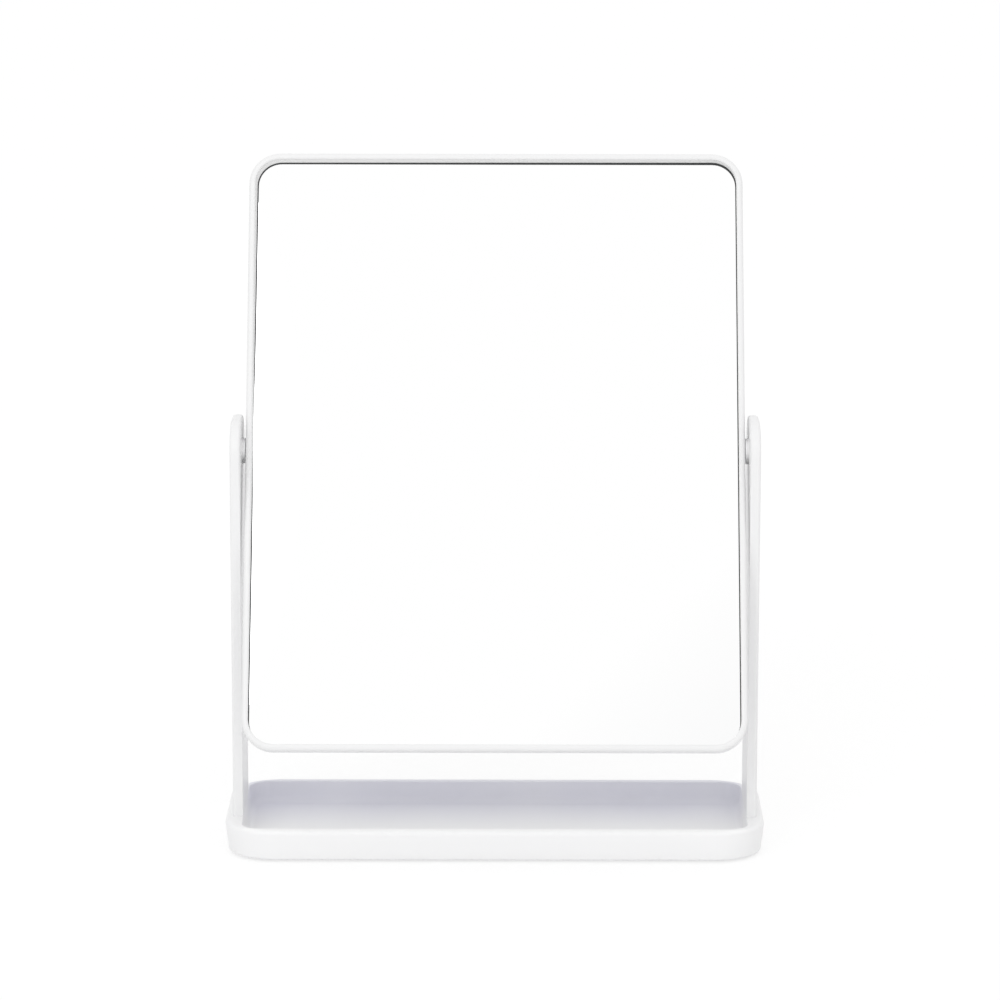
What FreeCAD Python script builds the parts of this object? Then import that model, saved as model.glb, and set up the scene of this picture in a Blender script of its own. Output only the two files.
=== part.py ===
"""Tabletop mirror: a framed glass that turns between two uprights on a shallow tray.

Millimetres. The origin is on the table under the middle of the tray: +X to the right, +Y to the
back, +Z up. Pieces of the mirror head are drawn upright about their pivot axis, front towards -Y,
and are then leaned back about that axis to the angle at which the mirror rests.
"""
import FreeCAD, Part
import math
import os
import re

import Sketcher

# Driving dimensions, one cell of the sheet each: name, value, what it measures.
SIZES = [
    # Tray
    ("tray_depth", 80.6, "depth over the rim"),
    ("rim_height", 13.1, "top of the rim above the table"),
    ("foot_stand", 0.9, "lower edge of the tray above the table"),
    ("tray_corner_radius", 20.0, "outer corner seen from above"),
    ("tray_draft", 7.0, "lean of the outer wall, degrees"),
    ("rim_width", 4.5, "from the outer edge to the recess, front and back"),
    ("recess_depth", 8.8, "from the rim down to the floor"),
    ("recess_corner_radius", 8.0, "inner corner seen from above"),
    ("recess_draft", 5.0, "lean of the recess wall, degrees"),
    ("floor_thickness", 2.0, "floor of the recess"),
    ("tray_wall", 1.6, "wall round the hollow underside"),
    ("rim_outer_round", 1.6, "outer edge of the rim"),
    ("rim_inner_round", 0.5, "inner edge of the rim"),
    ("recess_floor_round", 3.0, "between the floor and the wall"),
    ("base_edge_round", 1.1, "lower outer edge"),
    ("rib_count", 5, "ribs under the floor of the tray"),
    ("rib_height", 0.8, "how far those ribs hang below the floor"),
    ("rib_thickness", 1.2, "ribs under the tray and inside the cover"),
    # Feet
    ("foot_diameter", 12.0, "rubber foot"),
    ("foot_inset_side", 22.0, "foot centre from the side of the tray"),
    ("foot_inset_front", 17.0, "foot centre from the front or the back"),
    ("foot_edge", 0.4, "chamfered lower edge of a foot"),
    ("foot_ring_wall", 1.2, "ring that locates a foot"),
    ("foot_ring_height", 0.9, "how far the ring hangs below the floor"),
    ("foot_ring_clearance", 0.15, "between a foot and its ring"),
    # Uprights
    ("arm_inset", 2.87, "outer face from the side of the tray"),
    ("arm_thickness", 4.1, "blade thickness"),
    ("arm_depth", 36.8, "blade from front to back"),
    ("arm_top_reach", 13.3, "top of the blade above the pivot"),
    ("arm_corner_radius", 13.0, "top corners of the blade"),
    ("arm_outer_round", 1.6, "edges of the blade's outer face"),
    ("arm_inner_round", 0.8, "edges of the blade's inner face"),
    ("tenon_thickness", 3.1, "foot that plugs into the rim"),
    ("tenon_width", 28.0, "foot from front to back"),
    ("tenon_length", 9.2, "foot below the rim"),
    ("tenon_shift", 0.3, "foot outboard of the blade's middle"),
    ("tenon_corner_radius", 1.0, "vertical edges of the foot"),
    ("tenon_lead", 0.5, "chamfer round the end of the foot"),
    ("socket_clearance", 0.1, "between the foot and its socket"),
    ("socket_wall", 2.5, "socket block beyond the foot"),
    ("socket_key", 0.3, "how far a block or rib runs into the walls beside it"),
    # Screws that draw the uprights down
    ("screw_spacing", 16.0, "between the two screws of an upright"),
    ("screw_diameter", 2.0, "shank"),
    ("screw_head_diameter", 3.0, "pan head"),
    ("screw_head_height", 1.2, "pan head"),
    ("screw_head_sink", 0.4, "head above the lower edge of the tray"),
    ("screw_length", 7.5, "shank under the head"),
    ("screw_tip", 0.6, "chamfered point"),
    ("screw_slot_width", 0.6, "driver slot"),
    ("screw_slot_depth", 0.5, "driver slot"),
    ("screw_clearance", 0.12, "around the shank and the head in the tray"),
    ("screw_bite_clearance", 0.02, "around the shank in the upright"),
    ("screw_hole_spare", 1.0, "pilot hole past the point"),
    # Pivots
    ("swing_gap", 23.75, "between the upright head and the rim"),
    ("side_gap", 1.53, "between the head and an upright"),
    ("boss_diameter", 10.5, "boss on the inside of an upright"),
    ("boss_edge", 0.25, "chamfered rim of the boss"),
    ("washer_diameter", 10.0, "slip washer"),
    ("washer_thickness", 0.6, "slip washer"),
    ("washer_play", 0.18, "between the washer and the head"),
    ("pin_diameter", 4.0, "pivot pin"),
    ("pin_chamfer", 0.4, "ends of the pin"),
    ("pin_cover", 1.0, "plastic left outside the pin"),
    ("pin_seat_clearance", 0.02, "pin in the upright, pressed in"),
    ("pin_running_clearance", 0.05, "pin in its bearing"),
    ("pin_wall_clearance", 0.6, "pin where it passes the frame's wall"),
    ("bearing_length", 9.0, "bearing block along the axis"),
    ("bearing_height", 11.0, "bearing block up and down"),
    ("bearing_slit", 0.8, "cut that lets the block grip the pin"),
    ("bearing_clearance", 0.1, "around the block in its cradle"),
    ("bearing_glass_gap", 0.2, "between the block and the glass"),
    ("bearing_edge", 0.5, "chamfer on the block's front corners"),
    # Mirror head
    ("rest_tilt", 24.6, "lean back at rest, degrees"),
    ("head_width", 197.6, "frame, side to side"),
    ("head_height", 242.9, "frame, top to bottom"),
    ("head_corner_radius", 12.5, "frame corner"),
    ("bezel_front", 6.0, "front face ahead of the axis"),
    ("bezel_face", 2.5, "frame that shows beside the glass"),
    ("bezel_wall", 1.4, "side wall of the frame"),
    ("lip_thickness", 1.2, "lip in front of the glass"),
    ("bezel_edge_round", 1.3, "outer front edge"),
    ("lip_round", 0.8, "inner front edge"),
    ("glass_thickness", 2.0, "silvered glass"),
    ("glass_clearance", 0.25, "between the glass and the frame's wall"),
    ("glass_seam", 0.3, "ground edge of the glass"),
    ("parting_chamfer", 0.2, "groove where the frame meets the cover"),
    ("cover_back", 7.26, "rear face behind the axis"),
    ("cover_draft", 10.0, "lean of the cover's side, degrees"),
    ("cover_wall", 1.8, "cover"),
    ("cover_back_round", 4.0, "outer rear edge"),
    ("cover_inner_round", 2.0, "inner rear edge"),
    ("tongue_thickness", 1.2, "tongue that plugs into the frame"),
    ("tongue_root", 2.5, "tongue below the parting line"),
    ("tongue_clearance", 0.1, "tongue to frame, and to the glass"),
    ("snap_length", 14.0, "snap bead along the tongue"),
    ("snap_height", 0.8, "snap bead from back to front"),
    ("snap_reach", 0.45, "snap bead out of the tongue"),
    ("snap_rise", 0.9, "snap bead ahead of the parting line"),
    ("snap_inset", 55.0, "middle of a bead from the head's corner"),
    ("foam_width", 6.0, "cushion strip"),
    ("foam_thickness", 1.4, "cushion strip"),
    ("foam_inset", 16.5, "middle of a strip from the frame's edge"),
    ("foam_end_gap", 6.0, "strip short of the corner of its rib"),
    # Making
    ("cut_overrun", 1.0, "how far a cut runs past the face it opens"),
]

# Places and sizes that follow from the driving ones.
DERIVED = {
    "head_side": "head_width / 2",
    "arm_inner": "head_side + side_gap",
    "arm_outer": "arm_inner + arm_thickness",
    "tray_width": "2 * (arm_outer + arm_inset)",
    "pivot_height": "rim_height + swing_gap + head_height / 2",
    "tray_height": "rim_height - foot_stand",
    "floor_top": "rim_height - recess_depth",
    "floor_under": "floor_top - floor_thickness",
    "rim_edge_loss": "rim_outer_round * (1 / tan(45 - tray_draft / 2) - 1)",
    "base_inset": "tray_height * tan(tray_draft) - rim_edge_loss",
    "recess_width": "2 * arm_inner",
    "recess_length": "tray_depth - 2 * rim_width",
    "cavity_inset": "base_inset + tray_wall",
    "cavity_width": "tray_width - 2 * cavity_inset",
    "cavity_length": "tray_depth - 2 * cavity_inset",
    "rib_spacing": "(tray_width - 2 * foot_inset_side - foot_diameter) / (rib_count + 1)",
    "tenon_middle": "arm_outer - arm_thickness / 2 + tenon_shift",
    "block_width": "cavity_width / 2 + socket_key - arm_inner + socket_wall",
    "socket_floor": "rim_height - tenon_length - socket_clearance",
    "screw_seat": "foot_stand + screw_head_sink + screw_head_height",
    "screw_end": "screw_seat + screw_length",
    "boss_height": "side_gap - washer_thickness - washer_play",
    "boss_face": "arm_inner - boss_height",
    "pin_outer_end": "arm_outer - pin_cover",
    "bearing_outer": "head_side - cover_wall - cover_inside * tan(cover_draft) - bearing_clearance",
    "bearing_inner": "bearing_outer - bearing_length",
    "bearing_middle": "bearing_outer - bearing_length / 2",
    "cradle_side": "bearing_height / 2 + bearing_clearance + rib_thickness / 2",
    "cradle_end": "bearing_inner - bearing_clearance - rib_thickness / 2",
    "cradle_length": "bearing_outer - cradle_end + rib_thickness / 2",
    "glass_front": "bezel_front - lip_thickness",
    "glass_back": "glass_front - glass_thickness",
    "glass_inset": "bezel_wall + glass_clearance",
    "snap_side_place": "head_height / 2 - snap_inset",
    "snap_end_place": "head_side - snap_inset",
    "tongue_inset": "bezel_wall + tongue_clearance",
    "tongue_top": "glass_back - tongue_clearance",
    "cover_inside": "cover_back - cover_wall",
    "foam_seat": "glass_back - foam_thickness",
}

SIDES = {"left": -1, "right": 1}
ENDS = {"front": -1, "rear": 1}
# The formula for no distance at all.
NOWHERE = "0"
# Two places closer than this are taken to be the same.
SAME_PLACE = 1e-4

doc = FreeCAD.newDocument("tabletop_mirror")
sheet = doc.addObject("Spreadsheet::Sheet", "Sizes")
for row, (name, value, meaning) in enumerate(SIZES, 1):
    sheet.set(f"A{row}", meaning)
    sheet.set(f"B{row}", str(value))
    sheet.setAlias(f"B{row}", name)
doc.recompute()
SIZE_NAMES = {name for name, value, meaning in SIZES}


def formula(text):
    """Write the named sizes in a text as references to the sheet's cells."""
    def cell(match):
        word = match[0]
        if word in DERIVED:
            return f"({formula(DERIVED[word])})"
        return f"Sizes.{word}" if word in SIZE_NAMES else word
    return re.sub(r"[a-z]+(?:_[a-z]+)*", cell, text)


def number(text):
    """Work out a formula of named sizes."""
    return float(sheet.evalExpression(formula(text)))


def bind(thing, path, text):
    """Tie a property of an object to a formula of named sizes."""
    thing.setExpression(path, formula(text))


def new_body(label):
    """Start a sub-part; its label names its file."""
    body = doc.addObject("PartDesign::Body", label)
    body.Label = label
    return body


def new_sketch(body, name, plane, **offset):
    """Start a sketch on one of the body's own planes, moved by formulas along its x, y and z."""
    sketch = body.newObject("Sketcher::SketchObject", f"{body.Label}_{name}")
    sketch.AttachmentSupport = (next(f for f in body.Origin.OriginFeatures if f.Role == plane), "")
    sketch.MapMode = "FlatFace"
    for axis, text in offset.items():
        bind(sketch, f"AttachmentOffset.Base.{axis}", text)
    return sketch


def constrain(sketch, kind, *places, name=None, text=None):
    """Add one constraint; a named one takes its value from a formula."""
    if name is None:
        sketch.addConstraint(Sketcher.Constraint(kind, *places))
        return
    index = sketch.addConstraint(Sketcher.Constraint(kind, *places, number(text)))
    sketch.renameConstraint(index, name)
    bind(sketch, f"Constraints.{name}", text)


def rounded_rectangle(sketch, name, width, height, radius):
    """Draw a rectangle with four round corners about the sketch's origin."""
    half_w, half_h, r = number(width) / 2, number(height) / 2, number(radius)
    arcs = []
    for corner, (right, up) in enumerate(((1, -1), (1, 1), (-1, 1), (-1, -1))):
        centre = FreeCAD.Vector(right * (half_w - r), up * (half_h - r), 0)
        whole = Part.Circle(centre, FreeCAD.Vector(0, 0, 1), r)
        start = (corner - 1) * math.pi / 2
        arcs.append(Part.ArcOfCircle(whole, start, start + math.pi / 2))
    lines = [Part.LineSegment(arcs[i - 1].EndPoint, arcs[i].StartPoint) for i in range(4)]
    line = [sketch.addGeometry(piece, False) for piece in lines]
    arc = [sketch.addGeometry(piece, False) for piece in arcs]
    for i in range(4):
        constrain(sketch, "Tangent", line[i], 2, arc[i], 1)
        constrain(sketch, "Tangent", arc[i], 2, line[(i + 1) % 4], 1)
        constrain(sketch, ("Horizontal", "Vertical")[i % 2], line[i])
    for other in arc[1:]:
        constrain(sketch, "Equal", arc[0], other)
    constrain(sketch, "Symmetric", arc[0], 3, arc[2], 3, -1, 1)
    constrain(sketch, "DistanceX", line[3], 1, line[1], 1, name=f"{name}_width", text=width)
    constrain(sketch, "DistanceY", line[0], 1, line[2], 1, name=f"{name}_height", text=height)
    constrain(sketch, "Radius", arc[0], name=f"{name}_radius", text=radius)


def rectangle(sketch, name, width, height):
    """Draw a rectangle with sharp corners about the sketch's origin."""
    half_w, half_h = number(width) / 2, number(height) / 2
    corners = [FreeCAD.Vector(x * half_w, y * half_h, 0) for x, y in ((-1, -1), (1, -1), (1, 1), (-1, 1))]
    line = [sketch.addGeometry(Part.LineSegment(corners[i], corners[(i + 1) % 4]), False) for i in range(4)]
    for i in range(4):
        constrain(sketch, "Coincident", line[i], 2, line[(i + 1) % 4], 1)
        constrain(sketch, ("Horizontal", "Vertical")[i % 2], line[i])
    constrain(sketch, "Symmetric", line[0], 1, line[2], 1, -1, 1)
    constrain(sketch, "DistanceX", line[0], 1, line[0], 2, name=f"{name}_width", text=width)
    constrain(sketch, "DistanceY", line[1], 1, line[1], 2, name=f"{name}_height", text=height)


def circle(sketch, name, diameter):
    """Draw a circle about the sketch's origin."""
    drawn = Part.Circle(FreeCAD.Vector(0, 0, 0), FreeCAD.Vector(0, 0, 1), number(diameter) / 2)
    index = sketch.addGeometry(drawn, False)
    constrain(sketch, "Coincident", index, 3, -1, 1)
    constrain(sketch, "Diameter", index, name=f"{name}_diameter", text=diameter)


def extrude(kind, sketch, length, back=False, draft=None, both_ways=False):
    """Pad or pocket a sketch; back turns it round, and draft makes it narrower as it goes."""
    body = sketch.getParentGeoFeatureGroup()
    before = body.Tip.Shape.Volume if kind == "Pocket" else 0
    feature = body.newObject(f"PartDesign::{kind}", f"{sketch.Name}_{kind.lower()}")
    feature.Profile = sketch
    bind(feature, "Length", length)
    feature.Reversed = back
    if draft is not None:
        bind(feature, "TaperAngle", f"-({draft})")
    if both_ways:
        feature.SideType = "Symmetric"
    doc.recompute()
    if kind == "Pocket" and feature.Shape.Volume > before - SAME_PLACE:
        raise ValueError(f"{feature.Name} cuts nothing")
    return feature


def dress(kind, feature, name, text, wanted):
    """Fillet or chamfer the edges of a feature that pass a test."""
    body = feature.getParentGeoFeatureGroup()
    edges = [f"Edge{i}" for i, edge in enumerate(feature.Shape.Edges, 1) if wanted(edge)]
    done = body.newObject(f"PartDesign::{kind}", f"{body.Label}_{name}")
    done.Base = (feature, edges)
    bind(done, "Radius" if kind == "Fillet" else "Size", text)
    doc.recompute()
    return done


def at(axis, text):
    """Test that an edge lies wholly at one place along an axis."""
    place = number(text)

    def wanted(edge):
        low, high = getattr(edge.BoundBox, f"{axis}Min"), getattr(edge.BoundBox, f"{axis}Max")
        return abs(low - place) < SAME_PLACE and abs(high - place) < SAME_PLACE
    return wanted


def within(axis, text):
    """Test that an edge stays within a distance of the middle along an axis."""
    reach = number(text) + SAME_PLACE

    def wanted(edge):
        return max(-getattr(edge.BoundBox, f"{axis}Min"), getattr(edge.BoundBox, f"{axis}Max")) < reach
    return wanted


def along(axis):
    """Test that an edge is straight and runs along an axis."""
    def wanted(edge):
        return edge.BoundBox.DiagonalLength - getattr(edge.BoundBox, f"{axis}Length") < SAME_PLACE
    return wanted


def all_of(*tests):
    """Test that an edge passes every one of some tests."""
    return lambda edge: all(test(edge) for test in tests)


def any_of(*tests):
    """Test that an edge passes one of some tests."""
    return lambda edge: any(test(edge) for test in tests)


def not_of(test):
    """Test that an edge fails a test."""
    return lambda edge: not test(edge)


def lean_back(body):
    """Set a piece of the mirror head on the pivot axis, leaned back to its rest angle."""
    lean = FreeCAD.Rotation(FreeCAD.Vector(-1, 0, 0), number("rest_tilt"))
    body.Placement = FreeCAD.Placement(FreeCAD.Vector(0, 0, number("pivot_height")), lean)
    bind(body, ".Placement.Base.z", "pivot_height")
    bind(body, ".Placement.Rotation.Angle", "rest_tilt")


def tray_outline(sketch, name, inset):
    """Draw the tray's outline, moved inwards."""
    rounded_rectangle(sketch, name, f"tray_width - 2 * ({inset})", f"tray_depth - 2 * ({inset})",
                      f"tray_corner_radius - ({inset})")


def tray_shell():
    """Mould the tray: a drafted rim round a recess, with a hollow underside and a socket for each upright."""
    body = new_body("tray_shell")
    outline = new_sketch(body, "outline", "XY_Plane", z="rim_height")
    tray_outline(outline, "rim", "-rim_edge_loss")
    block = extrude("Pad", outline, "tray_height", back=True, draft="tray_draft")
    rim = dress("Fillet", block, "rim_edge", "rim_outer_round", at("Z", "rim_height"))
    dress("Fillet", rim, "base_edge", "base_edge_round", at("Z", "foot_stand"))

    mouth = new_sketch(body, "mouth", "XY_Plane", z="rim_height")
    rounded_rectangle(mouth, "mouth", "recess_width", "recess_length", "recess_corner_radius")
    recess = extrude("Pocket", mouth, "recess_depth", draft="recess_draft")
    floor = dress("Fillet", recess, "floor_edge", "recess_floor_round", at("Z", "floor_top"))
    inner = all_of(at("Z", "rim_height"), within("X", "recess_width / 2"), within("Y", "recess_length / 2"))
    dress("Fillet", floor, "mouth_edge", "rim_inner_round", inner)

    under = new_sketch(body, "under", "XY_Plane", z="foot_stand")
    tray_outline(under, "under", "cavity_inset")
    extrude("Pocket", under, "floor_under - foot_stand", back=True)
    floor_ribs(body)
    for side, sign in SIDES.items():
        arm_socket(body, side, sign)
    foot_rings(body)
    return body


def floor_ribs(body):
    """Stiffen the floor of the tray with a row of ribs that run from front to back below it."""
    rib = new_sketch(body, "rib", "XY_Plane", x="-rib_spacing * (rib_count - 1) / 2", z="floor_under")
    rectangle(rib, "rib", "rib_thickness", "cavity_length + 2 * socket_key")
    first = extrude("Pad", rib, "rib_height", back=True)
    row = body.newObject("PartDesign::LinearPattern", "tray_shell_ribs")
    row.Originals = [first]
    row.Direction = (next(f for f in body.Origin.OriginFeatures if f.Role == "X_Axis"), [""])
    bind(row, "Length", "rib_spacing * (rib_count - 1)")
    bind(row, "Occurrences", "rib_count")
    body.Tip = row
    doc.recompute()


def arm_socket(body, side, sign):
    """Fill the underside below one upright, then cut the socket and its two screw holes."""
    block = new_sketch(body, f"{side}_block", "XY_Plane", z="floor_under",
                       x=f"{sign} * (cavity_width / 2 + socket_key - block_width / 2)")
    rectangle(block, "block", "block_width", "tenon_width + 2 * socket_wall")
    extrude("Pad", block, "floor_under - foot_stand - socket_key", back=True)
    slot = new_sketch(body, f"{side}_socket", "XY_Plane", z="rim_height", x=f"{sign} * tenon_middle")
    rounded_rectangle(slot, "socket", "tenon_thickness + 2 * socket_clearance",
                      "tenon_width + 2 * socket_clearance", "tenon_corner_radius + socket_clearance")
    extrude("Pocket", slot, "rim_height - socket_floor")
    for end, step in ENDS.items():
        place = {"x": f"{sign} * tenon_middle", "y": f"{step} * screw_spacing / 2", "z": "foot_stand"}
        hole = new_sketch(body, f"{side}_{end}_hole", "XY_Plane", **place)
        circle(hole, "hole", "screw_diameter + 2 * screw_clearance")
        extrude("Pocket", hole, "socket_floor - foot_stand", back=True)
        seat = new_sketch(body, f"{side}_{end}_seat", "XY_Plane", **place)
        circle(seat, "seat", "screw_head_diameter + 2 * screw_clearance")
        extrude("Pocket", seat, "screw_seat - foot_stand", back=True)


def foot_place(side, end):
    """Give the place of a foot's centre as formulas along X and Y."""
    return {"x": f"{side} * (tray_width / 2 - foot_inset_side)",
            "y": f"{end} * (tray_depth / 2 - foot_inset_front)"}


def foot_rings(body):
    """Hang a locating ring below the floor round each foot."""
    for side, x in SIDES.items():
        for end, y in ENDS.items():
            ring = new_sketch(body, f"{side}_{end}_ring", "XY_Plane", z="floor_under", **foot_place(x, y))
            circle(ring, "hole", "foot_diameter + 2 * foot_ring_clearance")
            circle(ring, "ring", "foot_diameter + 2 * foot_ring_clearance + 2 * foot_ring_wall")
            extrude("Pad", ring, "foot_ring_height", back=True)


def rubber_foot(side, end):
    """Cut a rubber foot that stands between the table and the floor of the tray."""
    body = new_body(f"foot_{end}_{side}")
    disc = new_sketch(body, "disc", "XY_Plane", **foot_place(SIDES[side], ENDS[end]))
    circle(disc, "foot", "foot_diameter")
    pad = extrude("Pad", disc, "floor_under")
    dress("Chamfer", pad, "edge", "foot_edge", at("Z", NOWHERE))
    return body


def arm(side, sign):
    """Mould one upright: a flat blade with a round-cornered top, a pivot boss and a foot for its socket."""
    body = new_body(f"{side}_arm")
    height = "pivot_height + arm_top_reach - rim_height"
    blade = new_sketch(body, "blade", "YZ_Plane", y=f"rim_height + ({height}) / 2", z=f"{sign} * arm_inner")
    rectangle(blade, "blade", "arm_depth", height)
    plain = extrude("Pad", blade, "arm_thickness", back=sign < 0)
    rounded = dress("Fillet", plain, "top", "arm_corner_radius",
                    all_of(at("Z", "pivot_height + arm_top_reach"), along("X")))
    upper = not_of(at("Z", "rim_height"))
    outside = dress("Fillet", rounded, "outer_edges", "arm_outer_round",
                    all_of(at("X", f"{sign} * arm_outer"), upper))
    dress("Fillet", outside, "inner_edges", "arm_inner_round", all_of(at("X", f"{sign} * arm_inner"), upper))
    foot = new_sketch(body, "foot", "XY_Plane", x=f"{sign} * tenon_middle", z="rim_height")
    rounded_rectangle(foot, "foot", "tenon_thickness", "tenon_width", "tenon_corner_radius")
    tenon = extrude("Pad", foot, "tenon_length", back=True)
    dress("Chamfer", tenon, "lead", "tenon_lead", at("Z", "rim_height - tenon_length"))
    boss = new_sketch(body, "boss", "YZ_Plane", y="pivot_height", z=f"{sign} * arm_inner")
    circle(boss, "boss", "boss_diameter")
    stub = extrude("Pad", boss, "boss_height", back=sign > 0)
    dress("Chamfer", stub, "boss_edge", "boss_edge", at("X", f"{sign} * boss_face"))
    bore = new_sketch(body, "bore", "YZ_Plane", y="pivot_height", z=f"{sign} * boss_face")
    circle(bore, "bore", "pin_diameter + 2 * pin_seat_clearance")
    extrude("Pocket", bore, "pin_outer_end - boss_face + pin_seat_clearance", back=sign > 0)
    for end, step in ENDS.items():
        pilot = new_sketch(body, f"{end}_pilot", "XY_Plane", x=f"{sign} * tenon_middle",
                           y=f"{step} * screw_spacing / 2", z="rim_height - tenon_length")
        circle(pilot, "pilot", "screw_diameter + 2 * screw_bite_clearance")
        extrude("Pocket", pilot, "screw_end + screw_hole_spare - (rim_height - tenon_length)", back=True)
    return body


def arm_screw(side, end):
    """Turn one of the screws that draw an upright down into the tray."""
    body = new_body(f"{side}_arm_screw_{end}")
    place = {"x": f"{SIDES[side]} * tenon_middle", "y": f"{ENDS[end]} * screw_spacing / 2"}
    head = new_sketch(body, "head", "XY_Plane", z="screw_seat", **place)
    circle(head, "head", "screw_head_diameter")
    extrude("Pad", head, "screw_head_height", back=True)
    shank = new_sketch(body, "shank", "XY_Plane", z="screw_seat", **place)
    circle(shank, "shank", "screw_diameter")
    long = extrude("Pad", shank, "screw_length")
    dress("Chamfer", long, "tip", "screw_tip", at("Z", "screw_end"))
    slot = new_sketch(body, "slot", "XY_Plane", z="screw_seat - screw_head_height", **place)
    rectangle(slot, "slot", "screw_slot_width", "screw_head_diameter + 2 * cut_overrun")
    extrude("Pocket", slot, "screw_slot_depth", back=True)
    return body


def pivot_pin(side, sign):
    """Turn the steel pin that is pressed into an upright and carries one side of the head."""
    body = new_body(f"{side}_pivot_pin")
    rod = new_sketch(body, "rod", "YZ_Plane", y="pivot_height", z=f"{sign} * pin_outer_end")
    circle(rod, "pin", "pin_diameter")
    pad = extrude("Pad", rod, "pin_outer_end - bearing_inner", back=sign > 0)
    ends = any_of(at("X", f"{sign} * pin_outer_end"), at("X", f"{sign} * bearing_inner"))
    dress("Chamfer", pad, "ends", "pin_chamfer", ends)
    return body


def slip_washer(side, sign):
    """Cut the washer that keeps the head off an upright's boss."""
    body = new_body(f"{side}_slip_washer")
    ring = new_sketch(body, "ring", "YZ_Plane", y="pivot_height", z=f"{sign} * boss_face")
    circle(ring, "ring", "washer_diameter")
    circle(ring, "hole", "pin_diameter + 2 * pin_running_clearance")
    extrude("Pad", ring, "washer_thickness", back=sign > 0)
    return body


def head_outline(sketch, name, inset):
    """Draw the head's outline, moved inwards."""
    rounded_rectangle(sketch, name, f"head_width - 2 * ({inset})", f"head_height - 2 * ({inset})",
                      f"head_corner_radius - ({inset})")


def pin_passage(body):
    """Cut the hole through both side walls where the pivot pins pass."""
    hole = new_sketch(body, "pin_hole", "YZ_Plane")
    circle(hole, "hole", "pin_diameter + 2 * pin_wall_clearance")
    extrude("Pocket", hole, "head_width + 2 * cut_overrun", both_ways=True)


def bezel_frame():
    """Mould the front frame: a thin wall round the glass with a narrow lip in front of it."""
    body = new_body("bezel_frame")
    outline = new_sketch(body, "outline", "XZ_Plane")
    head_outline(outline, "outline", NOWHERE)
    block = extrude("Pad", outline, "bezel_front")
    front = dress("Fillet", block, "front_edge", "bezel_edge_round", at("Y", "-bezel_front"))
    dress("Chamfer", front, "parting_edge", "parting_chamfer", at("Y", NOWHERE))
    window = new_sketch(body, "window", "XZ_Plane", z="bezel_front + cut_overrun")
    head_outline(window, "window", "bezel_face")
    extrude("Pocket", window, "bezel_front + 2 * cut_overrun")
    seat = new_sketch(body, "seat", "XZ_Plane")
    head_outline(seat, "seat", "bezel_wall")
    rebate = extrude("Pocket", seat, "glass_front", back=True)
    lip = all_of(at("Y", "-bezel_front"), within("X", "head_width / 2 - bezel_face"),
                 within("Z", "head_height / 2 - bezel_face"))
    dress("Fillet", rebate, "lip_edge", "lip_round", lip)
    snap_beads(body, "Pocket", "tongue_clearance")
    pin_passage(body)
    lean_back(body)
    return body


def mirror_glass():
    """Cut the silvered glass, with its edges ground."""
    body = new_body("mirror_glass")
    plate = new_sketch(body, "plate", "XZ_Plane", z="glass_back")
    head_outline(plate, "glass", "glass_inset")
    pad = extrude("Pad", plate, "glass_thickness")
    dress("Chamfer", pad, "seam", "glass_seam", any_of(at("Y", "-glass_front"), at("Y", "-glass_back")))
    lean_back(body)
    return body


def rear_cover():
    """Mould the rear cover: a drafted shell with a tongue, cushion ribs and a cradle for each bearing."""
    body = new_body("rear_cover")
    outline = new_sketch(body, "outline", "XZ_Plane")
    head_outline(outline, "outline", NOWHERE)
    block = extrude("Pad", outline, "cover_back", back=True, draft="cover_draft")
    back = dress("Fillet", block, "back_edge", "cover_back_round", at("Y", "cover_back"))
    dress("Chamfer", back, "parting_edge", "parting_chamfer", at("Y", NOWHERE))
    hollow = new_sketch(body, "hollow", "XZ_Plane")
    head_outline(hollow, "hollow", "cover_wall")
    inside_cut = extrude("Pocket", hollow, "cover_inside", draft="cover_draft")
    dress("Fillet", inside_cut, "inner_edge", "cover_inner_round", at("Y", "cover_inside"))
    tongue = new_sketch(body, "tongue", "XZ_Plane", z="-tongue_root")
    head_outline(tongue, "outer", "tongue_inset")
    head_outline(tongue, "inner", "tongue_inset + tongue_thickness")
    extrude("Pad", tongue, "tongue_root + tongue_top")
    snap_beads(body, "Pad", NOWHERE)
    cover_ribs(body)
    for side, sign in SIDES.items():
        bearing_cradle(body, side, sign)
    pin_passage(body)
    lean_back(body)
    return body


def cover_ribs(body):
    """Stand a ring of ribs in the cover to carry the cushion strips, and a lower cross to stiffen it."""
    ring = new_sketch(body, "ring", "XZ_Plane", z="-cover_inside")
    for name, step in (("outer", 1), ("inner", -1)):
        inset = f"(foam_inset - {step} * rib_thickness / 2)"
        rectangle(ring, name, f"head_width - 2 * {inset}", f"head_height - 2 * {inset}")
    extrude("Pad", ring, "cover_inside + foam_seat")
    for name, width, height in (("upright", "rib_thickness", "head_height - 2 * foam_inset"),
                                ("level", "head_width - 2 * foam_inset", "rib_thickness")):
        rib = new_sketch(body, name, "XZ_Plane", z="-cover_inside")
        rectangle(rib, "rib", width, height)
        extrude("Pad", rib, "cover_inside")


def snap_beads(body, kind, room):
    """Add the eight beads that hold frame and cover together, or cut the notches that take them."""
    reach = f"(snap_reach + tongue_thickness + {room})"
    from_edge = f"(tongue_inset - snap_reach - {room} + {reach} / 2)"
    side_place, end_place = f"(head_width / 2 - {from_edge})", f"(head_height / 2 - {from_edge})"
    length = f"snap_length + 2 * {room}"
    for i in (-1, 1):
        for j in (-1, 1):
            for name, x, y, width, height in (
                    ("side", f"{i} * {side_place}", f"{j} * snap_side_place", reach, length),
                    ("end", f"{i} * snap_end_place", f"{j} * {end_place}", length, reach)):
                bead = new_sketch(body, f"snap_{name}", "XZ_Plane", x=x, y=y, z=f"snap_rise - {room}")
                rectangle(bead, "bead", width, height)
                extrude(kind, bead, f"snap_height + 2 * {room}", back=kind == "Pocket")


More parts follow.
